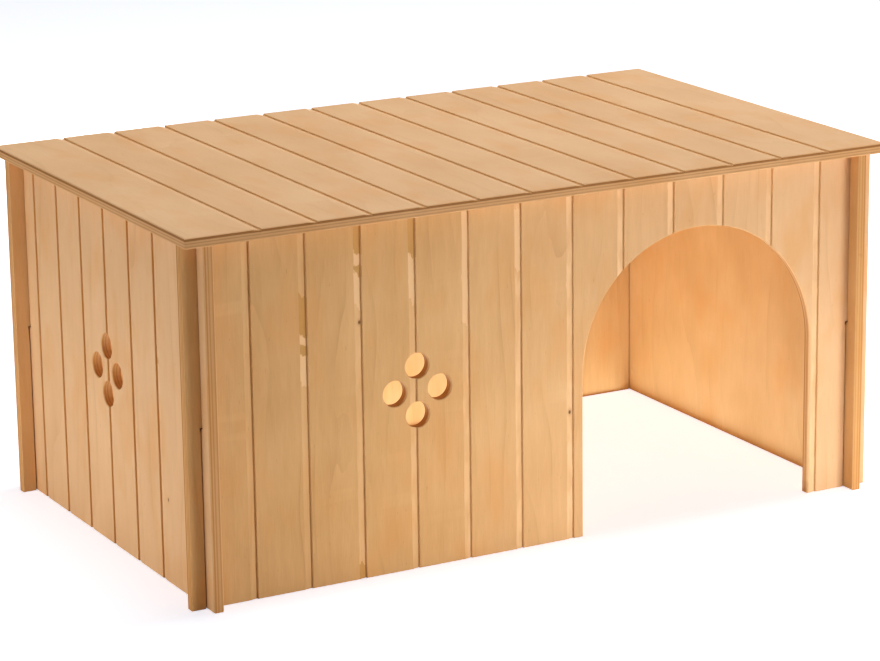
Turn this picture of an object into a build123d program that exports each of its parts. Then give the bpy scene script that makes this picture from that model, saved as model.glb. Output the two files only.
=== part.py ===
from build123d import *
import os

# A small animal's house of grooved plywood. Four walls slot into each other like an egg crate,
# and a loose flat roof lies on top of them. There is no floor.
# Millimetres, +Z up, front towards -Y, origin on the ground under the middle of the house.

os.makedirs("parts", exist_ok=True)

# Boards
plywood = 4.0            # thickness of every board
wall_height = 138.0
front_planks = 13        # across the front, the back and the roof
side_planks = 8          # across each side
front_pitch = 22.6       # from one groove to the next, on the front and the back
side_pitch = 23.0        # the same on the sides
roof_pitch = 22.3        # the same on the roof
front_end_plank = 25.2   # from the end of a front or back board to the middle of its first groove
side_end_plank = 21.0    # the same on a side board
ear = 6.0                # how far a board runs on past the one that it crosses

# Grooves: a shallow bevel that ends at a square step
bevel_width = 3.2
groove_depth = 0.7

# Corner joints: a slot in each board, half as high as the wall
slot_play = 0.4          # the slot is this much wider than the board in it
slot_end_gap = 0.4       # left between the two slot ends, so that all walls stand on the ground

# Doorway, centred between two steps to the right of the middle
door_radius = 52.5
door_lintel = 21.0       # wood left above the top of the arch
door_plank = 3           # counted from the middle plank

# Air holes, four in a diamond centred on the step of a groove
vent_radius = 5.0
vent_ring = 9.5          # from the middle of the diamond to the middle of each hole
vent_height = 70.0
vent_groove = 2.5        # pitches to the left of the middle of the front

# Roof and the battens under it, which keep it from sliding off
roof_overhang = 1.5
batten_width = 10.0
batten_height = 8.0
batten_lead_in = 2.0     # bevel that guides the battens in between the walls
batten_play = 0.8        # between a batten and the walls beside it

# Worked out from the sizes above
front_length = (front_planks - 2) * front_pitch + 2 * front_end_plank
side_length = (side_planks - 2) * side_pitch + 2 * side_end_plank
front_face = side_length / 2 - ear            # Y of the outer faces of the front and the back
side_face = front_length / 2 - ear            # X of the outer faces of the sides
slot_width = plywood + slot_play
slot_height = (wall_height + slot_end_gap) / 2
step_offset = bevel_width / 2                 # from the middle of a groove to its step
door_middle = door_plank * front_pitch + step_offset
door_height = wall_height - door_lintel
door_spring = door_height - door_radius       # where the straight jambs end and the arch begins
front_vents = step_offset - vent_groove * front_pitch   # where the diamonds stand on their boards,
side_vents = -step_offset                               # along from the middle
roof_length = front_length + 2 * roof_overhang
roof_depth = side_length + 2 * roof_overhang
roof_top = wall_height + plywood
batten_face = side_face - plywood - batten_play
batten_length = 2 * (front_face - plywood - batten_play)
cut_reach = 2 * plywood                       # cuts run out past both faces of a board
bevel_left = -1                               # side of the step on which the bevel lies,
bevel_right = 1                               # as seen from outside

# Each board is drawn twice: in its cross-section, with x to the right as seen from outside and
# y into the wood, and on its outer face, with x to the right and y up.
front_section = Plane(origin=(0, -front_face, 0), x_dir=(1, 0, 0), z_dir=(0, 0, 1))
back_section = Plane(origin=(0, front_face, 0), x_dir=(-1, 0, 0), z_dir=(0, 0, 1))
left_section = Plane(origin=(-side_face, 0, 0), x_dir=(0, -1, 0), z_dir=(0, 0, 1))
right_section = Plane(origin=(side_face, 0, 0), x_dir=(0, 1, 0), z_dir=(0, 0, 1))
roof_section = Plane(origin=(0, -roof_depth / 2, roof_top), x_dir=(1, 0, 0), z_dir=(0, 1, 0))

front_outside = Plane(origin=(0, -front_face, 0), x_dir=(1, 0, 0), z_dir=(0, -1, 0))
back_outside = Plane(origin=(0, front_face, 0), x_dir=(-1, 0, 0), z_dir=(0, 1, 0))
left_outside = Plane(origin=(-side_face, 0, 0), x_dir=(0, -1, 0), z_dir=(-1, 0, 0))
right_outside = Plane(origin=(side_face, 0, 0), x_dir=(0, 1, 0), z_dir=(1, 0, 0))


def grooved_board(length, planks, pitch, lean):
    """Cross-section of a board, with its grooves cut into the outer face."""
    Rectangle(length, plywood, align=(Align.CENTER, Align.MIN))
    with GridLocations(pitch, 0, planks - 1, 1):
        Polygon(
            (-lean * step_offset, groove_depth),
            (-lean * step_offset, -plywood),
            (lean * step_offset, -plywood),
            (lean * step_offset, 0),
            align=None,
            mode=Mode.SUBTRACT,
        )


def corner_slots(crossing_face, bottom):
    """The two slots that take the crossing boards, whose outer faces are that far out."""
    with Locations((0, bottom)):
        with GridLocations(2 * crossing_face - plywood, 0, 2, 1):
            Rectangle(slot_width, slot_height, align=(Align.CENTER, Align.MIN))


def vent_diamond(across):
    """Four round holes on the corners of a square that stands on its point."""
    with Locations((across, vent_height)):
        with PolarLocations(vent_ring, 4):
            Circle(vent_radius)


# Front: slotted from below, with the doorway and the air holes
with BuildPart() as front_wall:
    with BuildSketch(front_section):
        grooved_board(front_length, front_planks, front_pitch, bevel_left)
    extrude(amount=wall_height)
    with BuildSketch(front_outside):
        corner_slots(side_face, 0)
        with Locations((door_middle, 0)):
            Rectangle(2 * door_radius, door_spring, align=(Align.CENTER, Align.MIN))
        with Locations((door_middle, door_spring)):
            Circle(door_radius)
        vent_diamond(front_vents)
    extrude(amount=cut_reach, both=True, mode=Mode.SUBTRACT)
front_wall.part.label = "front_wall"

# Back: slotted from below, and closed
with BuildPart() as back_wall:
    with BuildSketch(back_section):
        grooved_board(front_length, front_planks, front_pitch, bevel_left)
    extrude(amount=wall_height)
    with BuildSketch(back_outside):
        corner_slots(side_face, 0)
    extrude(amount=cut_reach, both=True, mode=Mode.SUBTRACT)
back_wall.part.label = "back_wall"

# Left side: slotted from above, with air holes on its middle groove
with BuildPart() as left_wall:
    with BuildSketch(left_section):
        grooved_board(side_length, side_planks, side_pitch, bevel_right)
    extrude(amount=wall_height)
    with BuildSketch(left_outside):
        corner_slots(front_face, wall_height - slot_height)
        vent_diamond(side_vents)
    extrude(amount=cut_reach, both=True, mode=Mode.SUBTRACT)
left_wall.part.label = "left_wall"

# Right side: slotted from above, and closed
with BuildPart() as right_wall:
    with BuildSketch(right_section):
        grooved_board(side_length, side_planks, side_pitch, bevel_right)
    extrude(amount=wall_height)
    with BuildSketch(right_outside):
        corner_slots(front_face, wall_height - slot_height)
    extrude(amount=cut_reach, both=True, mode=Mode.SUBTRACT)
right_wall.part.label = "right_wall"

# Roof: one board that lies on all four walls, grooved from front to back
with BuildPart() as roof_panel:
    with BuildSketch(roof_section):
        grooved_board(roof_length, front_planks, roof_pitch, bevel_left)
    extrude(amount=roof_depth)
roof_panel.part.label = "roof_panel"

# Battens: glued under the roof, one just inside each side wall
with BuildPart() as left_batten:
    with BuildSketch(Plane.XY.offset(wall_height)):
        with Locations((-batten_face, 0)):
            Rectangle(batten_width, batten_length, align=(Align.MIN, Align.CENTER))
    extrude(amount=-batten_height)
    chamfer(left_batten.faces().sort_by(Axis.Z)[0].edges(), length=batten_lead_in)
left_batten.part.label = "left_batten"

with BuildPart() as right_batten:
    mirror(left_batten.part, about=Plane.YZ)
right_batten.part.label = "right_batten"

for board in (front_wall, back_wall, left_wall, right_wall, roof_panel, left_batten, right_batten):
    export_step(board.part, f"parts/{board.part.label}.step")
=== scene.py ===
import math

import bmesh
import bpy
from mathutils import Euler, Matrix, Vector, noise


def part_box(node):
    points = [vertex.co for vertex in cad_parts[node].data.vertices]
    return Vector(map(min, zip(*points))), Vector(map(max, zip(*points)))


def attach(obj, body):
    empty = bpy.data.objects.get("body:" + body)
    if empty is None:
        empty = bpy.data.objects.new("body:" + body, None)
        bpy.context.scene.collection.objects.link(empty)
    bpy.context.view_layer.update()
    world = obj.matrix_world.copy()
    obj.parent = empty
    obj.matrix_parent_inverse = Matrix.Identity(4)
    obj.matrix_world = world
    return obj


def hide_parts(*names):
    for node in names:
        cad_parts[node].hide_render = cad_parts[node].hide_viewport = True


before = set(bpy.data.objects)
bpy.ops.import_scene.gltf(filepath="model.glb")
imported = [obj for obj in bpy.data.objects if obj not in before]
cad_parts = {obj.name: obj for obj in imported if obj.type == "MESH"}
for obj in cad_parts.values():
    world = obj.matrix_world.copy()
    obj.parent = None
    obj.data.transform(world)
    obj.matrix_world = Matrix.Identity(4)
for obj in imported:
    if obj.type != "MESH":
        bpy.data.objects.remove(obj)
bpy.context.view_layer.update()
print("stage: frame loaded,", len(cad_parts), "nodes")

mm = 0.001
scene = bpy.context.scene


def rgb(red, green, blue):
    # screen colour, 0 to 255, as the linear colour that a shader takes
    def linear(value):
        value = value / 255
        return value / 12.92 if value <= 0.04045 else ((value + 0.055) / 1.055) ** 2.4

    return (linear(red), linear(green), linear(blue), 1.0)


# small helpers for shader trees

noiseSpan = (0.3, 0.7)  # nearly all values of a noise lie between these


def newMaterial(name):
    material = bpy.data.materials.new(name)
    material.use_nodes = True
    material.node_tree.nodes.clear()
    return material


def addNode(tree, kind, inputs=None, **settings):
    made = tree.nodes.new(kind)
    for name, value in settings.items():
        setattr(made, name, value)
    for name, value in (inputs or {}).items():
        if isinstance(value, bpy.types.NodeSocket):
            tree.links.new(value, made.inputs[name])
        else:
            made.inputs[name].default_value = value
    return made


def calc(tree, operation, first, second=0.0, third=0.0):
    inputs = {0: first, 1: second, 2: third}
    return addNode(tree, "ShaderNodeMath", inputs, operation=operation).outputs[0]


def measure(tree, operation, first, second):
    # dot product or distance of two vectors
    made = addNode(tree, "ShaderNodeVectorMath", {0: first, 1: second}, operation=operation)
    return made.outputs["Value"]


def remap(tree, value, low, high, toLow=0.0, toHigh=1.0):
    inputs = {"Value": value, "From Min": low, "From Max": high, "To Min": toLow, "To Max": toHigh}
    return addNode(tree, "ShaderNodeMapRange", inputs).outputs["Result"]


def blend(tree, factor, first, second):
    # sockets 6 and 7 of a mix node take its colours, and output 2 gives the mixed one
    return addNode(tree, "ShaderNodeMix", {0: factor, 6: first, 7: second}, data_type="RGBA").outputs[2]


def bandRamp(tree, value, bands, edge):
    # 1 inside each band of the value, 0 outside, with a soft edge
    ramp = addNode(tree, "ShaderNodeValToRGB", {"Fac": value})
    stops = ramp.color_ramp.elements
    stops[0].position = 0.0
    stops[0].color = (0, 0, 0, 1)
    stops[1].position = 1.0
    stops[1].color = (0, 0, 0, 1)
    for low, high, level in bands:
        for place, shade in ((low - edge, 0), (low + edge, level), (high - edge, level), (high + edge, 0)):
            stops.new(place).color = (shade, shade, shade, 1)
    return ramp.outputs["Color"]


def boardSpace(tree, place):
    # object space as millimetres along the board, up it, and out of its outer face
    inputs = {
        "Vector": addNode(tree, "ShaderNodeTexCoord").outputs["Object"],
        "Location": place.to_translation(),
        "Rotation": place.to_euler(),
        "Scale": (mm, mm, mm),
    }
    return addNode(tree, "ShaderNodeMapping", inputs, vector_type="TEXTURE").outputs[0]


def stretched(tree, space, across, along, through, shift):
    # a copy of the board space in which one unit is that many millimetres each way
    inputs = {
        "Vector": space,
        "Scale": (1 / across, 1 / along, 1 / through),
        "Location": (shift, shift * 0.37, shift * 0.61),
    }
    return addNode(tree, "ShaderNodeMapping", inputs, vector_type="POINT").outputs[0]


def grain(sheet, across, along, shift, detail=2.0, through=6.0):
    # noise in the sheet's space, with the size of its spots in millimetres
    tree = sheet["tree"]
    inputs = {
        "Vector": stretched(tree, sheet["space"], across, along, through, sheet["seed"] + shift),
        "Scale": 1.0,
        "Detail": detail,
        "Roughness": 0.5,
    }
    return addNode(tree, "ShaderNodeTexNoise", inputs).outputs[0]


def closeTree(tree, colour, rough, height, strength, distance, shine=0.5):
    # a lit surface, with the height as a bump of that strength and distance
    bump = addNode(tree, "ShaderNodeBump", {"Strength": strength, "Distance": distance, "Height": height})
    inputs = {
        "Base Color": colour,
        "Roughness": rough,
        "Normal": bump.outputs[0],
        "Specular IOR Level": shine,
    }
    surface = addNode(tree, "ShaderNodeBsdfPrincipled", inputs)
    addNode(tree, "ShaderNodeOutputMaterial", {"Surface": surface.outputs[0]})


# the plywood: one look for all boards, varied by what each board's own dictionary says

plywoodColours = {
    "light": rgb(233, 186, 128),
    "dark": rgb(210, 159, 100),
    "paleWash": rgb(240, 200, 166),
    "amber": rgb(224, 158, 90),
    "line": rgb(182, 128, 74),
    "fleck": rgb(166, 112, 58),
    "bevelPaleAndLit": rgb(243, 200, 150),
    "crossPly": rgb(192, 124, 58),
    "darkPly": rgb(124, 72, 22),
    "bared": rgb(202, 148, 70),
    "endTint": rgb(206, 148, 84),
    # painted light: tones laid over the square sides of the grooves, which lie in shade, to lighten them
    "stepLightTone": rgb(218, 162, 94),
    "stepPaleLight": rgb(252, 214, 160),
    # painted shade: the deep corner of each groove
    "grooveShade": rgb(150, 88, 30),
    "knotAndShadeSpot": rgb(104, 58, 24),
}

# layers that are cut across their grain: from and to, as shares of the thickness, and strength
evenLayers = ((0.115, 0.265, 0.8), (0.405, 0.53, 0.65), (0.745, 0.885, 0.5))
darkInnerLayers = ((0.115, 0.265, 0.65), (0.405, 0.53, 0.6), (0.745, 0.9, 0.9))
darkTopLayers = ((0.075, 0.30, 1.0), (0.47, 0.56, 0.45), (0.75, 0.84, 0.4))

# cosines between which a surface comes to face a direction, and the flat of a board turns into a bevel
facingSpan = (0.6, 0.8)
bevelSpan = (0.992, 0.984)
seedStep = 17.3  # takes each board to another part of every noise


def boardSheet(tree, board, place):
    # what every part of a board's look starts from
    space = boardSpace(tree, place)
    parts = addNode(tree, "ShaderNodeSeparateXYZ", {0: space})
    normal = addNode(tree, "ShaderNodeNewGeometry").outputs["True Normal"]
    facing = calc(tree, "ABSOLUTE", measure(tree, "DOT_PRODUCT", normal, tuple(place.col[2][:3])))
    steep = calc(tree, "ABSOLUTE", measure(tree, "DOT_PRODUCT", normal, tuple(place.col[0][:3])))
    onFace = remap(tree, facing, *facingSpan)
    return {
        "tree": tree,
        "space": space,
        "seed": board["seed"] * seedStep,
        "along": parts.outputs["X"],
        "up": parts.outputs["Y"],
        "out": parts.outputs["Z"],
        "onFace": onFace,
        "onBevel": calc(tree, "MULTIPLY", remap(tree, facing, *bevelSpan), onFace),
        "onStep": remap(tree, steep, *facingSpan),
    }


patches = {"slant": 0.5, "ragged": 6.0, "halfWidth": 2.6}


def patchMask(sheet, spots, shift):
    # 1 in each spot (place along the board, lowest and highest point), with slanted ragged ends
    if not spots:
        return 0.0
    tree = sheet["tree"]
    ragged = grain(sheet, 2.0, 3.0, shift + 12, 1.0)
    up = calc(tree, "MULTIPLY_ADD", sheet["along"], patches["slant"], sheet["up"])
    up = calc(tree, "MULTIPLY_ADD", ragged, patches["ragged"], up)
    mask = 0.0
    for along, low, high in spots:
        near = calc(tree, "COMPARE", sheet["along"], along, patches["halfWidth"])
        middle = (low + high) / 2 + along * patches["slant"] + patches["ragged"] / 2
        inside = calc(tree, "COMPARE", up, middle, (high - low) / 2)
        mask = calc(tree, "MAXIMUM", mask, calc(tree, "MULTIPLY", near, inside))
    return mask


rings = {"bend": 4.5, "ripple": 0.3, "sharpness": 6.0, "fade": (0.38, 0.68)}


def ringLines(sheet, board):
    # growth rings: contour lines that lean a little, softer on one side
    tree = sheet["tree"]
    bend = calc(tree, "MULTIPLY", grain(sheet, 30.0, 130.0, 0, 1.0), rings["bend"])
    count = calc(tree, "MULTIPLY_ADD", sheet["along"], 1 / board["ringGap"], bend)
    count = calc(tree, "MULTIPLY_ADD", grain(sheet, 6.0, 34.0, 5, 1.0), rings["ripple"], count)
    line = calc(tree, "POWER", calc(tree, "FRACT", count), rings["sharpness"])
    fade = remap(tree, grain(sheet, 18.0, 50.0, 9, 1.0), *rings["fade"])
    return calc(tree, "MULTIPLY", line, calc(tree, "MULTIPLY", fade, board["ringStrength"]))


veneer = {
    "fine": 0.2,  # share of the fibres in the darkening
    "broad": 0.64,  # share of streaks and clouds together
    "base": 0.08,
    "amber": (0.5, 0.72, 0.0, 0.4),  # noise from and to, strength from and to
    "fleck": (0.74, 0.82, 0.0, 0.4),
}


def veneerShade(sheet, board, fine):
    # streaks and clouds over the fibres
    tree = sheet["tree"]
    streaks = remap(tree, grain(sheet, 2.2, 22.0, 3, 3.0), *noiseSpan)
    clouds = remap(tree, grain(sheet, board["cloud"], board["cloud"] * 1.5, 4), *noiseSpan)
    shade = calc(tree, "MULTIPLY", fine, veneer["fine"])
    shade = calc(tree, "MULTIPLY_ADD", streaks, board["streaks"], shade)
    shade = calc(tree, "MULTIPLY_ADD", clouds, veneer["broad"] - board["streaks"], shade)
    return calc(tree, "ADD", shade, veneer["base"])


def veneerColour(sheet, board, shade, ring):
    tree = sheet["tree"]
    colour = blend(tree, shade, plywoodColours["light"], plywoodColours["dark"])
    # paler towards one end by each board's own ramp; on the front this is painted light, paler and whiter
    # towards the right end where the key light falls
    palening = remap(tree, sheet["along"], *board["paleningFrom"])
    colour = blend(tree, palening, colour, plywoodColours["paleWash"])
    amber = remap(tree, grain(sheet, 15.0, 30.0, 13), *veneer["amber"])
    colour = blend(tree, amber, colour, plywoodColours["amber"])
    colour = blend(tree, ring, colour, plywoodColours["line"])
    fleck = remap(tree, grain(sheet, 0.45, 3.5, 6, 1.0), *veneer["fleck"])
    return blend(tree, fleck, colour, plywoodColours["fleck"])


bevels = {"paleAndLit": (0.42, 0.58, 0.4, 1.0), "chip": 0.8}


def paleLitBevel(sheet, board, colour):
    # paler bevels: partly the cut wood's own tone, and partly painted light, paler towards the front's
    # right end where the key light falls
    tree = sheet["tree"]
    paleAndLit = remap(tree, grain(sheet, 4.0, 14.0, 15), *bevels["paleAndLit"])
    # painted light: the ramp along the board paints the bevels paler towards one end
    paleAndLit = calc(tree, "MULTIPLY", paleAndLit, remap(tree, sheet["along"], *board["bevelLightFrom"]))
    chips = calc(tree, "MULTIPLY", patchMask(sheet, board["chips"], 3), bevels["chip"])
    paleAndLit = calc(tree, "MAXIMUM", paleAndLit, chips)
    return blend(tree, calc(tree, "MULTIPLY", sheet["onBevel"], paleAndLit), colour, plywoodColours["bevelPaleAndLit"])


layers = {
    "edge": 0.018,  # softness of a layer's edge, as a share of the thickness
    "wander": 0.035,  # how far the layers wander up and down, as such a share
    "outer": 0.24,  # on the face, what is cut no deeper than this share of the thickness
    "outerDrop": -0.7,  # is taken for that much shallower, so that grooves stay in the outer layer
    "bare": 0.8,  # strength of a bared spot
    "bared": 0.8,  # and how much of its own colour it has
    "strength": 0.85,
    "pores": 0.3,
    "endTint": 0.6,
}


def layerMasks(sheet, board, thickness):
    # where a layer shows across its grain, and where the surface lies within the outer layer
    tree = sheet["tree"]
    depth = calc(tree, "MULTIPLY", sheet["out"], -1 / thickness)
    wander = calc(tree, "SUBTRACT", grain(sheet, 16.0, 16.0, 7, 1.0, 16.0), 0.5)
    depth = calc(tree, "MULTIPLY_ADD", wander, layers["wander"], depth)
    shallow = calc(tree, "MULTIPLY", calc(tree, "LESS_THAN", depth, layers["outer"]), sheet["onFace"])
    depth = calc(tree, "MULTIPLY", depth, calc(tree, "MULTIPLY_ADD", shallow, layers["outerDrop"], 1.0))
    cross = bandRamp(tree, depth, board["layers"], layers["edge"])
    # spots where the outer layer is so thin that a groove bares the one under it
    bare = calc(tree, "LESS_THAN", grain(sheet, 31.0, 12.0, 8), board["bareLevel"])
    bare = calc(tree, "MAXIMUM", bare, patchMask(sheet, board["bare"], 0))
    bare = calc(tree, "MULTIPLY", calc(tree, "MULTIPLY", bare, sheet["onBevel"]), layers["bare"])
    return calc(tree, "MAXIMUM", cross, bare), shallow


def layerColour(sheet, board, colour, cross, shallow, pores):
    tree = sheet["tree"]
    tone = blend(tree, board["darkness"], plywoodColours["crossPly"], plywoodColours["darkPly"])
    tone = blend(tree, calc(tree, "MULTIPLY", pores, layers["pores"]), tone, plywoodColours["fleck"])
    tone = blend(tree, calc(tree, "MULTIPLY", shallow, layers["bared"]), tone, plywoodColours["bared"])
    onEdge = calc(tree, "MULTIPLY", calc(tree, "SUBTRACT", 1.0, sheet["onFace"]), layers["endTint"])
    colour = blend(tree, onEdge, colour, plywoodColours["endTint"])
    return blend(tree, calc(tree, "MULTIPLY", cross, layers["strength"]), colour, tone)


steps = {
    "endPlank": 12.0 * mm,  # no groove is this near to the end of a board
    "floor": -0.9,  # millimetres, deeper than any groove
    "cornerLine": (-0.57, -0.67),  # millimetres between which the painted shade in the groove corner begins
}


def grooveLightAndShade(sheet, board, colour, halfLength):
    # painted light on the square side of each groove, which lies in shade, and a line of painted shade in
    # its corner
    tree = sheet["tree"]
    reach = (halfLength - steps["endPlank"]) / mm
    inside = calc(tree, "LESS_THAN", calc(tree, "ABSOLUTE", sheet["along"]), reach)
    inGroove = calc(tree, "GREATER_THAN", sheet["out"], steps["floor"])
    side = calc(tree, "MULTIPLY", calc(tree, "MULTIPLY", sheet["onStep"], inside), inGroove)
    # painted light: the shaded step side takes a set, lighter tone
    side = calc(tree, "MULTIPLY", side, board["stepPaintedShare"])
    colour = blend(tree, side, colour, plywoodColours[board["stepPaintedTone"]])
    # painted shade: darker in the deep corner beside each step
    cornerShade = remap(tree, sheet["out"], *steps["cornerLine"], 0.0, board["grooveShade"])
    cornerShade = calc(tree, "MULTIPLY", calc(tree, "MULTIPLY", cornerShade, sheet["onFace"]), inGroove)
    return blend(tree, cornerShade, colour, plywoodColours["grooveShade"])


pins = {
    "tall": 1.3,
    "through": 30.0,
    "ragged": 0.35,
    "halo": (0.9, 2.6, 0.3, 0.0),  # distance from and to, strength from and to
    "core": (0.7, 1.3, 0.9, 0.0),
}


# dark spots: knots in the wood, and painted shade at the closed ends of the slots
def paintKnotsAndShade(sheet, board, colour, fine):
    tree = sheet["tree"]
    for along, up, size in board["knotsAndShadeSpots"]:
        tall = size * pins["tall"]
        flat = stretched(tree, sheet["space"], size, tall, pins["through"], 0.0)
        far = measure(tree, "DISTANCE", flat, (along / size, up / tall, 0.0))
        far = calc(tree, "MULTIPLY_ADD", fine, pins["ragged"], far)
        colour = blend(tree, remap(tree, far, *pins["halo"]), colour, plywoodColours["fleck"])
        colour = blend(tree, remap(tree, far, *pins["core"]), colour, plywoodColours["knotAndShadeSpot"])
    return colour


relief = {
    "ring": -0.5,
    "fine": -0.6,
    "cross": -0.5,
    "pores": -1.0,
    "strength": 0.5,
    "distance": 0.04 * mm,
    "rough": (0.2, 0.9, 0.55, 0.67),  # shade from and to, roughness from and to
    "crossRough": 0.2,
}


def plywood(name, board, place, halfLength, thickness):
    material = newMaterial(name)
    tree = material.node_tree
    sheet = boardSheet(tree, board, place)
    fine = remap(tree, grain(sheet, 0.4, 6.0, 2, 3.0), *noiseSpan)
    pores = remap(tree, grain(sheet, 0.35, 0.35, 11, 2.0, 0.35), 0.35, 0.7)
    ring = ringLines(sheet, board)
    shade = veneerShade(sheet, board, fine)
    cross, shallow = layerMasks(sheet, board, thickness)

    colour = veneerColour(sheet, board, shade, ring)
    colour = paleLitBevel(sheet, board, colour)
    colour = layerColour(sheet, board, colour, cross, shallow, pores)
    colour = grooveLightAndShade(sheet, board, colour, halfLength)
    colour = paintKnotsAndShade(sheet, board, colour, fine)

    height = calc(tree, "MULTIPLY_ADD", ring, relief["ring"], calc(tree, "MULTIPLY", fine, relief["fine"]))
    porous = calc(tree, "MULTIPLY_ADD", pores, relief["pores"], relief["cross"])
    height = calc(tree, "MULTIPLY_ADD", cross, porous, height)
    rough = remap(tree, shade, *relief["rough"])
    rough = calc(tree, "MULTIPLY_ADD", cross, relief["crossRough"], rough)
    closeTree(tree, colour, rough, height, relief["strength"], relief["distance"], board["shine"])
    return material


# boards: a grid with the grooves pressed into it, closed by an eased rim, then cut

grooves = {
    "bevel": 3.2 * mm,
    "depth": 0.7 * mm,
    # profile across one groove: share of the bevel's width from the step, share of the depth
    "profile": (
        (-1.0, 0.0), (-0.74, 0.29), (-0.46, 0.59), (-0.16, 0.9), (-0.02, 1.0), (0.0, 0.16), (0.05, 0.0),
    ),
    "rowGap": 1.5 * mm,
    "waver": 7 * mm,  # length of the slow unevenness
    "quicker": 4.3,  # how many times shorter the quick one is
    "wobble": 0.16 * mm,
    "tear": 0.35 * mm,
    "tornAbove": 0.28,  # the quick noise tears the bevel's edge above this value
    "tornGain": 2.2,
    "slowDepth": 0.06,
    "quickDepth": 0.03,
}
# ease: of every edge; overrun: of a cutter past both faces; past: of a cutter past the end of a board
rim = {"ease": 0.3 * mm, "overrun": 0.5 * mm, "past": 2.0 * mm}
smoothBelow = math.radians(12)


def boardPlace(board):
    # matrix from the board's own space: along it, up it, and out of its outer face
    low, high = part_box(board["node"])
    right = Vector(board["right"])
    up = Vector(board["up"])
    outward = right.cross(up)
    face = max(low.dot(outward), high.dot(outward))
    matrix = Matrix((right, up, outward)).transposed().to_4x4()
    matrix.translation = outward * face
    length, height, depth = [sorted((low.dot(axis), high.dot(axis))) for axis in (right, up, outward)]
    return matrix, length, height, depth[1] - depth[0]


def grooveColumns(board, length):
    # (place along the board, depth, groove number or None, share across the bevel)
    start, end = length
    ease = rim["ease"]
    columns = [(start + ease, 0.0, None, 0.0)]
    count = board["planks"] - 1
    for index in range(count):
        step = (index - (count - 1) / 2) * board["pitch"] - board["lean"] * grooves["bevel"] / 2
        profile = [(step - board["lean"] * share * grooves["bevel"], deep * grooves["depth"], index, share)
                   for share, deep in grooves["profile"]]
        columns += sorted(profile)
    columns.append((end - ease, 0.0, None, 0.0))
    return columns


def wornPoint(board, column, up):
    # moves a groove's points a little, more at the thin edge of the bevel
    along, depth, index, share = column
    if index is None:
        return along, depth
    spot = Vector((index * 7.1 + board["seed"] * 31.7, up / grooves["waver"], 0.3))
    slow = noise.noise(spot)
    quick = noise.noise(spot * grooves["quicker"])
    if share == -1.0:
        torn = max(0.0, quick - grooves["tornAbove"]) * grooves["tornGain"] * grooves["tear"]
        along += board["lean"] * (slow * grooves["wobble"] + torn)
    elif depth > 0 and share < -0.03:
        depth *= 1 + grooves["slowDepth"] * slow + grooves["quickDepth"] * quick
    return along, depth


def joinLoops(mesh, loops):
    # a wall of quads from each closed loop of points to the next
    for near, far in zip(loops, loops[1:]):
        for k in range(len(near)):
            following = (k + 1) % len(near)
            mesh.faces.new((near[following], near[k], far[k], far[following]))


def boardMesh(board, length, height, thickness):
    ease = rim["ease"]
    rows = round((height[1] - height[0]) / grooves["rowGap"])
    columns = grooveColumns(board, length)
    last = len(columns) - 1
    mesh = bmesh.new()
    ups = [height[0] + ease + (height[1] - height[0] - 2 * ease) * row / rows for row in range(rows + 1)]
    front = []
    for column in columns:
        line = []
        for up in ups:
            along, depth = wornPoint(board, column, up)
            line.append(mesh.verts.new((along, up, -depth)))
        front.append(line)
    for left, right in zip(front, front[1:]):
        for row in range(rows):
            mesh.faces.new((left[row], right[row], right[row + 1], left[row + 1]))
    # border of the grid, counter-clockwise from the lower left corner, each with its way out
    border = [(front[i][0], (-1 if i == 0 else 0, -1)) for i in range(last)]
    border += [(front[last][j], (1, -1 if j == 0 else 0)) for j in range(rows)]
    border += [(front[i][rows], (1 if i == last else 0, 1)) for i in range(last, 0, -1)]
    border += [(front[0][j], (-1, 1 if j == rows else 0)) for j in range(rows, 0, -1)]
    loops = [[vert for vert, way in border]]
    for drop, grow in ((ease, ease), (None, ease), (None, 0.0)):
        loop = []
        for vert, way in border:
            if drop is not None:
                out = vert.co.z - drop
            else:
                out = -thickness + (ease if grow else 0.0)
            loop.append(mesh.verts.new((vert.co.x + way[0] * grow, vert.co.y + way[1] * grow, out)))
        loops.append(loop)
    joinLoops(mesh, loops)
    # inner face: one strip for each pair of columns
    inner = loops[-1]
    topStart = last + rows
    for i in range(last):
        lower = [inner[i], inner[i + 1]]
        upper = [inner[topStart + last - i - 1], inner[(topStart + last - i) % len(inner)]]
        if i == 0:
            upper += inner[topStart + last + 1:]
        if i == last - 1:
            lower += inner[last + 1:last + rows]
        mesh.faces.new(list(reversed(lower + upper)))
    return mesh


def prism(mesh, outline, thickness):
    # a cutter through the board: outline(grow) gives its corners, which flare a little at both faces
    ease, overrun = rim["ease"], rim["overrun"]
    levels = (
        (overrun, ease + overrun),
        (-ease, 0.0),
        (-thickness + ease, 0.0),
        (-thickness - overrun, ease + overrun),
    )
    loops = [[mesh.verts.new((x, y, out)) for x, y in outline(grow)] for out, grow in levels]
    joinLoops(mesh, loops)
    mesh.faces.new(loops[0])
    mesh.faces.new(list(reversed(loops[-1])))


def archOutline(arch):
    def outline(grow):
        middle = arch["middle"]
        radius = arch["radius"] + grow
        spring = arch["height"] - arch["radius"]
        turns = [math.pi * k / arch["segments"] for k in range(arch["segments"] + 1)]
        points = [(middle + radius * math.cos(turn), spring + radius * math.sin(turn)) for turn in turns]
        return [(middle + radius, -rim["past"]), *points, (middle - radius, -rim["past"])]

    return outline


def holeOutline(middle, radius, segments):
    def outline(grow):
        turns = [math.tau * k / segments for k in range(segments)]
        return [(middle[0] + (radius + grow) * math.cos(turn), middle[1] + (radius + grow) * math.sin(turn))
                for turn in turns]

    return outline


slots = {
    "width": 4.8 * mm,
    "ear": 6.0 * mm,
    "endGap": 0.4 * mm,
    "relief": 0.3 * mm,
    "reliefHeight": 1.6 * mm,
    "flare": 0.3,  # of the flare that the other cuts have
}


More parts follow.
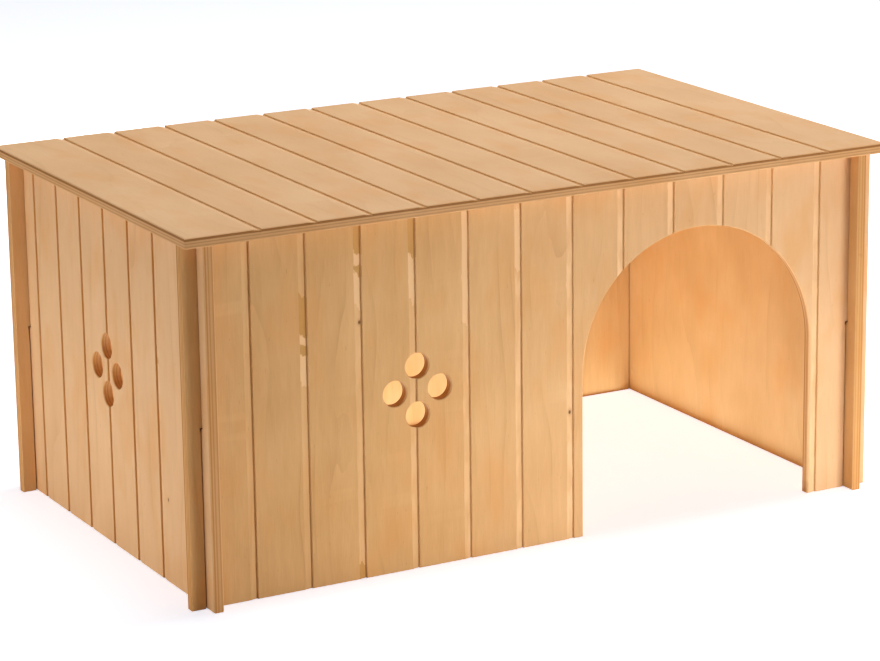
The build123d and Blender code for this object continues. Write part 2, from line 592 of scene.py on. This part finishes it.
def slotOutline(middle, openEnd, closedEnd):
    # from the open end to the closed one, where the cutter leaves a small relief on both sides
    onward = math.copysign(1, closedEnd - openEnd)

    def outline(grow):
        grow *= slots["flare"]
        half = slots["width"] / 2 + grow
        wide = half + slots["relief"]
        neck = closedEnd - onward * slots["reliefHeight"]
        shoulder = neck + onward * slots["relief"]
        end = closedEnd + onward * grow
        side = [(half, openEnd - onward * grow), (half, neck), (wide, shoulder), (wide, end)]
        points = [(middle + x, y) for x, y in side] + [(middle - x, y) for x, y in reversed(side)]
        return points if onward > 0 else list(reversed(points))

    return outline


def slotCuts(board, length, height, thickness):
    # two half-height slots, from below on front and back, from above on the sides
    reach = (height[1] - height[0] + slots["endGap"]) / 2
    if board["slotsFrom"] == "below":
        ends = (-rim["past"], reach)
    else:
        ends = (height[1] + rim["past"], height[1] - reach)
    middle = length[1] - slots["ear"] - thickness / 2
    return [slotOutline(side * middle, *ends) for side in (-1, 1)]


vents = {"radius": 5.0 * mm, "ring": 9.5 * mm, "height": 70.0 * mm, "segments": 40}


def ventCuts(along):
    corners = ((1, 0), (0, 1), (-1, 0), (0, -1))
    return [holeOutline((along + x * vents["ring"], vents["height"] + y * vents["ring"]),
                        vents["radius"], vents["segments"]) for x, y in corners]


def boardCuts(board, length, height, thickness):
    outlines = []
    if "slotsFrom" in board:
        outlines += slotCuts(board, length, height, thickness)
    if "ventAlong" in board:
        outlines += ventCuts(board["ventAlong"])
    if "doorway" in board:
        outlines.append(archOutline(board["doorway"]))
    return outlines


def addObject(name, mesh):
    data = bpy.data.meshes.new(name)
    mesh.to_mesh(data)
    mesh.free()
    made = bpy.data.objects.new(name, data)
    scene.collection.objects.link(made)
    return made


def cutBoard(piece, outlines, thickness):
    mesh = bmesh.new()
    for outline in outlines:
        prism(mesh, outline, thickness)
    bmesh.ops.recalc_face_normals(mesh, faces=mesh.faces)
    cutter = addObject("cutter", mesh)
    modifier = piece.modifiers.new("cuts", "BOOLEAN")
    modifier.operation = "DIFFERENCE"
    modifier.solver = "EXACT"
    modifier.object = cutter
    bpy.context.view_layer.update()
    result = bpy.data.meshes.new_from_object(piece.evaluated_get(bpy.context.evaluated_depsgraph_get()))
    piece.modifiers.clear()
    piece.data = result
    bpy.data.objects.remove(cutter)


def softenShading(data):
    # smooth across gentle bends, sharp over every real edge
    mesh = bmesh.new()
    mesh.from_mesh(data)
    bmesh.ops.remove_doubles(mesh, verts=mesh.verts, dist=0.002 * mm)
    bmesh.ops.dissolve_degenerate(mesh, edges=mesh.edges, dist=0.001 * mm)
    for face in mesh.faces:
        face.smooth = True
    for edge in mesh.edges:
        edge.smooth = len(edge.link_faces) == 2 and edge.calc_face_angle(0.0) < smoothBelow
    openEdges = sum(1 for edge in mesh.edges if not edge.is_manifold)
    mesh.to_mesh(data)
    mesh.free()
    return openEdges


def settle(piece, settings, material, openEdges):
    # the finished piece takes the place of its node in the frame
    piece.data.materials.clear()
    piece.data.materials.append(material)
    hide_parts(settings["node"])
    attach(piece, settings["body"])
    print("stage:", settings["piece"], "faces", len(piece.data.polygons), "open edges", openEdges)


def makeBoard(board):
    place, length, height, thickness = boardPlace(board)
    piece = addObject(board["piece"], boardMesh(board, length, height, thickness))
    outlines = boardCuts(board, length, height, thickness)
    if outlines:
        cutBoard(piece, outlines, thickness)
    openEdges = softenShading(piece.data)
    piece.data.transform(place)
    material = plywood(board["piece"] + "Ply", board, place, length[1], thickness / mm)
    settle(piece, board, material, openEdges)


# in each board's dictionary, knots and dark spots of painted shade are (along, up, size), and chips and
# bare are (along, lowest, highest point), all in millimetres; the ramps of paleness and of painted light on
# the bevels are a place from and to, and a strength from and to

frontBoard = {
    "piece": "frontBoard",
    "node": "front_wall",
    "body": "front",
    "slot": "front_plywood",
    "right": (1, 0, 0),
    "up": (0, 0, 1),
    "planks": 13,
    "pitch": 22.6 * mm,
    "lean": -1,
    "slotsFrom": "below",
    "ventAlong": -54.9 * mm,
    "doorway": {"radius": 52.5 * mm, "height": 117.0 * mm, "middle": 69.4 * mm, "segments": 72},
    "seed": 1,
    "ringGap": 11.0,
    "ringStrength": 0.3,
    "cloud": 26.0,
    "streaks": 0.22,
    "knotsAndShadeSpots": ((-78.5, 99.5, 0.65), (11.1, 51.2, 0.7), (121.0, 4.1, 0.7)),
    "shine": 0.15,
    # painted light: the front's face is painted paler towards its right end
    "paleningFrom": (-60.0, 145.0, 0.0, 0.4),
    # painted light: the bevels are painted paler towards the right end, where the key light falls
    "bevelLightFrom": (-120.0, 10.0, 0.06, 0.8),
    "chips": ((-101.6, 94.0, 97.4), (-101.6, 79.0, 90.0), (-79.0, 121.0, 126.0), (-79.0, 105.0, 118.0),
              (-56.4, 104.0, 121.5), (-33.8, 92.0, 140.0), (-11.2, 110.0, 134.0)),
    "layers": darkInnerLayers,
    "darkness": 0.35,
    "bareLevel": 0.12,
    "bare": ((-101.6, 97.4, 113.0), (-101.6, 90.0, 94.0), (-79.0, 126.0, 140.0), (-79.0, 118.0, 121.0),
             (-79.0, -3.0, 6.0), (-56.4, 121.5, 140.0)),
    "stepPaintedTone": "stepPaleLight",
    "stepPaintedShare": 0.8,
    "grooveShade": 0.5,
}
makeBoard(frontBoard)

backBoard = {
    "piece": "backBoard",
    "node": "back_wall",
    "body": "back",
    "slot": "back_plywood",
    "right": (-1, 0, 0),
    "up": (0, 0, 1),
    "planks": 13,
    "pitch": 22.6 * mm,
    "lean": -1,
    "slotsFrom": "below",
    "seed": 2,
    "ringGap": 14.0,
    "ringStrength": 0.3,
    "cloud": 28.0,
    "streaks": 0.22,
    "knotsAndShadeSpots": ((38.0, 101.0, 0.6), (-92.0, 47.0, 0.8)),
    "shine": 0.15,
    "paleningFrom": (-145.0, 145.0, 0.0, 0.1),
    "bevelLightFrom": (-140.0, 140.0, 0.2, 0.5),
    "chips": (),
    "layers": evenLayers,
    "darkness": 0.0,
    "bareLevel": 0.27,
    "bare": (),
    "stepPaintedTone": "stepLightTone",
    "stepPaintedShare": 0.7,
    "grooveShade": 0.85,
}
makeBoard(backBoard)

leftBoard = {
    "piece": "leftBoard",
    "node": "left_wall",
    "body": "side_walls",
    "slot": "side_plywood",
    "right": (0, -1, 0),
    "up": (0, 0, 1),
    "planks": 8,
    "pitch": 23.0 * mm,
    "lean": 1,
    "slotsFrom": "above",
    "ventAlong": -1.6 * mm,
    "seed": 3,
    "ringGap": 12.0,
    "ringStrength": 0.22,
    "cloud": 26.0,
    "streaks": 0.2,
    # the second spot is painted shade: the dark hole at the closed end of the slot
    "knotsAndShadeSpots": ((52.0, 33.0, 0.5), (83.3, 68.7, 0.65)),
    "shine": 0.15,
    "paleningFrom": (-80.0, 80.0, 0.36, 0.34),
    "bevelLightFrom": (-80.0, 80.0, 0.1, 0.3),
    "chips": (),
    "layers": evenLayers,
    "darkness": 0.0,
    "bareLevel": 0.26,
    "bare": (),
    "stepPaintedTone": "stepLightTone",
    "stepPaintedShare": 0.7,
    "grooveShade": 0.7,
}
makeBoard(leftBoard)

rightBoard = {
    "piece": "rightBoard",
    "node": "right_wall",
    "body": "side_walls",
    "slot": "side_plywood",
    "right": (0, 1, 0),
    "up": (0, 0, 1),
    "planks": 8,
    "pitch": 23.0 * mm,
    "lean": 1,
    "slotsFrom": "above",
    "seed": 4,
    "ringGap": 16.0,
    "ringStrength": 0.2,
    "cloud": 24.0,
    "streaks": 0.08,
    # the second spot is painted shade: the dark hole at the closed end of the slot
    "knotsAndShadeSpots": ((-31.0, 88.0, 0.5), (-83.3, 68.7, 0.8)),
    "shine": 0.15,
    "paleningFrom": (-80.0, 80.0, 0.05, 0.0),
    "bevelLightFrom": (-80.0, 80.0, 0.3, 0.5),
    "chips": (),
    "layers": evenLayers,
    "darkness": 0.0,
    "bareLevel": 0.25,
    "bare": (),
    "stepPaintedTone": "stepLightTone",
    "stepPaintedShare": 0.7,
    "grooveShade": 0.8,
}
makeBoard(rightBoard)

roofBoard = {
    "piece": "roofBoard",
    "node": "roof_panel",
    "body": "roof",
    "slot": "roof_plywood",
    "right": (1, 0, 0),
    "up": (0, 1, 0),
    "planks": 13,
    "pitch": 22.3 * mm,
    "lean": -1,
    "seed": 5,
    "ringGap": 18.0,
    "ringStrength": 0.16,
    "cloud": 36.0,
    "streaks": 0.08,
    "knotsAndShadeSpots": (),
    "shine": 0.3,
    "paleningFrom": (-150.0, 150.0, 0.26, 0.26),
    "bevelLightFrom": (-140.0, 140.0, 0.1, 0.3),
    "chips": (),
    "layers": darkTopLayers,
    "darkness": 0.75,
    "bareLevel": 0.2,
    "bare": (),
    "stepPaintedTone": "stepPaleLight",
    "stepPaintedShare": 1.0,
    "grooveShade": 0.12,
}
makeBoard(roofBoard)

# battens: planed bars with a bevel all round the lower face

battens = {
    "light": rgb(240, 208, 156),
    "dark": rgb(218, 174, 116),
    "line": rgb(196, 140, 82),
    "heart": (0.0, 0.0, 0.2),  # metres; the rings are counted from here
    "ringsAcross": 0.16,
    "ringsUp": 0.22,
    "ringBend": 3.0,
    "ringSharpness": 3.0,
    "ringStrength": 0.55,
    "fine": 0.4,
    "cloud": 0.5,
    "ringRelief": -0.8,
    "fineRelief": -0.7,
    "strength": 0.6,
    "distance": 0.06 * mm,
    "rough": (0.55, 0.7),
    "leadIn": 2.0 * mm,
    "ease": 0.5 * mm,
    "sections": 24,
}


def battenWood(name, seed):
    material = newMaterial(name)
    tree = material.node_tree
    place = Matrix.Translation(battens["heart"])
    sheet = {"tree": tree, "space": boardSpace(tree, place), "seed": seed}
    parts = addNode(tree, "ShaderNodeSeparateXYZ", {0: sheet["space"]})
    radius = calc(tree, "MULTIPLY", parts.outputs["X"], battens["ringsAcross"])
    radius = calc(tree, "MULTIPLY_ADD", parts.outputs["Z"], battens["ringsUp"], radius)
    radius = calc(tree, "MULTIPLY_ADD", grain(sheet, 12.0, 90.0, 0, 1.0, 12.0), battens["ringBend"], radius)
    ring = calc(tree, "POWER", calc(tree, "FRACT", radius), battens["ringSharpness"])
    ring = calc(tree, "MULTIPLY", ring, battens["ringStrength"])
    fine = remap(tree, grain(sheet, 0.4, 14.0, 2, 3.0, 0.4), *noiseSpan)
    cloud = remap(tree, grain(sheet, 9.0, 50.0, 3, 1.0, 9.0), *noiseSpan)
    shade = calc(tree, "MULTIPLY", fine, battens["fine"])
    shade = calc(tree, "MULTIPLY_ADD", cloud, battens["cloud"], shade)
    colour = blend(tree, shade, battens["light"], battens["dark"])
    colour = blend(tree, ring, colour, battens["line"])
    height = calc(tree, "MULTIPLY", fine, battens["fineRelief"])
    height = calc(tree, "MULTIPLY_ADD", ring, battens["ringRelief"], height)
    rough = remap(tree, fine, 0.0, 1.0, *battens["rough"])
    closeTree(tree, colour, rough, height, battens["strength"], battens["distance"])
    return material


def battenLoop(low, high, inset, lower):
    # cross-section of a batten; inset draws all its sides in, lower lifts its underside
    ease, lead = battens["ease"], battens["leadIn"]
    left, right = low.x + inset, high.x - inset
    bottom, top = low.z + lower, high.z - min(inset, ease)
    return [(left + lead - min(lower, lead), bottom), (right - lead + min(lower, lead), bottom),
            (right, max(bottom, low.z + lead)), (right, top - ease), (right - ease, top),
            (left + ease, top), (left, top - ease), (left, max(bottom, low.z + lead))]


def makeBatten(batten):
    low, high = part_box(batten["node"])
    ease, lead = battens["ease"], battens["leadIn"]
    mesh = bmesh.new()
    length = high.y - low.y
    stations = [(low.y, ease, lead), (low.y + ease, 0.0, lead - ease), (low.y + lead, 0.0, 0.0)]
    for k in range(1, battens["sections"]):
        stations.append((low.y + lead + (length - 2 * lead) * k / battens["sections"], 0.0, 0.0))
    stations += [(high.y - lead, 0.0, 0.0), (high.y - ease, 0.0, lead - ease), (high.y, ease, lead)]
    loops = []
    for along, inset, lower in stations:
        loops.append([mesh.verts.new((x, along, z)) for x, z in battenLoop(low, high, inset, lower)])
    joinLoops(mesh, list(reversed(loops)))
    mesh.faces.new(list(reversed(loops[0])))
    mesh.faces.new(loops[-1])
    bmesh.ops.recalc_face_normals(mesh, faces=mesh.faces)
    piece = addObject(batten["piece"], mesh)
    openEdges = softenShading(piece.data)
    settle(piece, batten, battenWood(batten["piece"] + "Wood", batten["seed"]), openEdges)


leftBatten = {
    "piece": "leftBatten",
    "node": "left_batten",
    "body": "roof",
    "slot": "batten_wood",
    "seed": 61.0,
}
rightBatten = {
    "piece": "rightBatten",
    "node": "right_batten",
    "body": "roof",
    "slot": "batten_wood",
    "seed": 83.0,
}
makeBatten(leftBatten)
makeBatten(rightBatten)

# floor and lights

studio = {
    "floorSize": 6.0,
    "floorColour": rgb(244, 243, 241),
    "floorSpeck": rgb(240, 239, 237),
    "speckScale": 900.0,
    "floorLift": 0.68,  # what the camera sees of the floor beyond its own shade
    "liftColour": (0.92, 0.97, 1.08, 1.0),
    "skyStrength": 0.08,
    "skyColour": rgb(255, 236, 208),
    "skySeen": (1.0, 1.0, 1.0, 1.0),
}


def makeFloor():
    mesh = bmesh.new()
    half = studio["floorSize"] / 2
    corners = [mesh.verts.new((x * half, y * half, 0.0)) for x, y in ((-1, -1), (1, -1), (1, 1), (-1, 1))]
    mesh.faces.new(corners)
    floor = addObject("floor", mesh)
    material = newMaterial("floorPaper")
    tree = material.node_tree
    seen = addNode(tree, "ShaderNodeLightPath").outputs["Is Camera Ray"]
    speck = addNode(tree, "ShaderNodeTexNoise", {"Scale": studio["speckScale"], "Detail": 2.0}).outputs[0]
    colour = blend(tree, remap(tree, speck, *noiseSpan), studio["floorColour"], studio["floorSpeck"])
    paper = addNode(tree, "ShaderNodeBsdfDiffuse", {"Color": colour})
    lift = calc(tree, "MULTIPLY", seen, studio["floorLift"])
    glow = addNode(tree, "ShaderNodeEmission", {"Color": studio["liftColour"], "Strength": lift})
    both = addNode(tree, "ShaderNodeAddShader", {0: paper.outputs[0], 1: glow.outputs[0]})
    addNode(tree, "ShaderNodeOutputMaterial", {"Surface": both.outputs[0]})
    floor.data.materials.append(material)


def makeSky():
    world = bpy.data.worlds.new("studioAir")
    scene.world = world
    world.use_nodes = True
    tree = world.node_tree
    tree.nodes.clear()
    path = addNode(tree, "ShaderNodeLightPath")
    seen = calc(tree, "MAXIMUM", path.outputs["Is Camera Ray"], path.outputs["Is Glossy Ray"])
    air = {"Color": studio["skyColour"], "Strength": studio["skyStrength"]}
    sky = addNode(tree, "ShaderNodeBackground", air)
    white = addNode(tree, "ShaderNodeBackground", {"Color": studio["skySeen"], "Strength": 1.0})
    both = addNode(tree, "ShaderNodeMixShader", {0: seen, 1: sky.outputs[0], 2: white.outputs[0]})
    addNode(tree, "ShaderNodeOutputWorld", {"Surface": both.outputs[0]})


# metres and watts
lamps = (
    {"name": "key", "power": 1.47, "size": (0.25, 0.03),
     "at": (0.35, -0.60, 0.02), "to": (0.0, -0.08, 0.03)},
    {"name": "lowFront", "power": 0.138, "size": (0.36, 0.01),
     "at": (0.09, -0.20, 0.006), "to": (0.07, -0.08, 0.01)},
    {"name": "lowLeft", "power": 0.225, "size": (0.30, 0.02),
     "at": (-0.32, 0.02, 0.012), "to": (-0.15, 0.02, 0.03)},
    {"name": "leftSide", "power": 2.0, "size": (0.4, 0.2),
     "at": (-1.5, -0.32, 0.34), "to": (0.0, -0.05, 0.09)},
    {"name": "top", "power": 6.7, "size": (0.5, 0.4),
     "at": (0.05, 0.0, 1.5), "to": (0.05, 0.0, 0.1)},
    {"name": "topRight", "power": 8.3, "size": (0.5, 0.4),
     "at": (0.60, 0.10, 1.30), "to": (0.05, 0.0, 0.1)},
    {"name": "rear", "power": 2.1, "size": (0.50, 0.10),
     "at": (0.20, 0.72, 0.09), "to": (0.0, 0.08, 0.07)},
    {"name": "right", "power": 1.7, "size": (0.50, 0.10),
     "at": (0.85, 0.05, 0.09), "to": (0.14, 0.0, 0.07)},
    {"name": "cabin", "power": 0.25, "size": (0.25, 0.158), "colour": (0.78, 0.94, 1.0),
     "at": (0.01, 0.0, 0.0006), "to": (0.01, 0.0, 0.1)},
)


def makeLamp(lamp):
    light = bpy.data.lights.new(lamp["name"], "AREA")
    light.shape = "RECTANGLE"
    light.size, light.size_y = lamp["size"]
    light.energy = lamp["power"]
    light.color = lamp.get("colour", (1, 1, 1))
    holder = bpy.data.objects.new(lamp["name"], light)
    holder.location = lamp["at"]
    holder.rotation_euler = (Vector(lamp["to"]) - Vector(lamp["at"])).to_track_quat("-Z", "Y").to_euler()
    holder.visible_camera = False
    scene.collection.objects.link(holder)


makeFloor()
makeSky()
for lamp in lamps:
    makeLamp(lamp)
print("stage: floor and lamps")

view = {
    "at": (-0.6254, -1.1542, 0.4247),
    "turn": (74.701, 0.742, -28.671),
    "lens": 138.67,
    "sensor": 36.0,
}
camera = bpy.data.cameras.new("camera")
camera.lens = view["lens"]
camera.sensor_width = view["sensor"]
cameraHolder = bpy.data.objects.new("camera", camera)
cameraHolder.location = view["at"]
cameraHolder.rotation_euler = Euler([math.radians(angle) for angle in view["turn"]], "XYZ")
scene.collection.objects.link(cameraHolder)
scene.camera = cameraHolder
scene.view_settings.view_transform = "Standard"
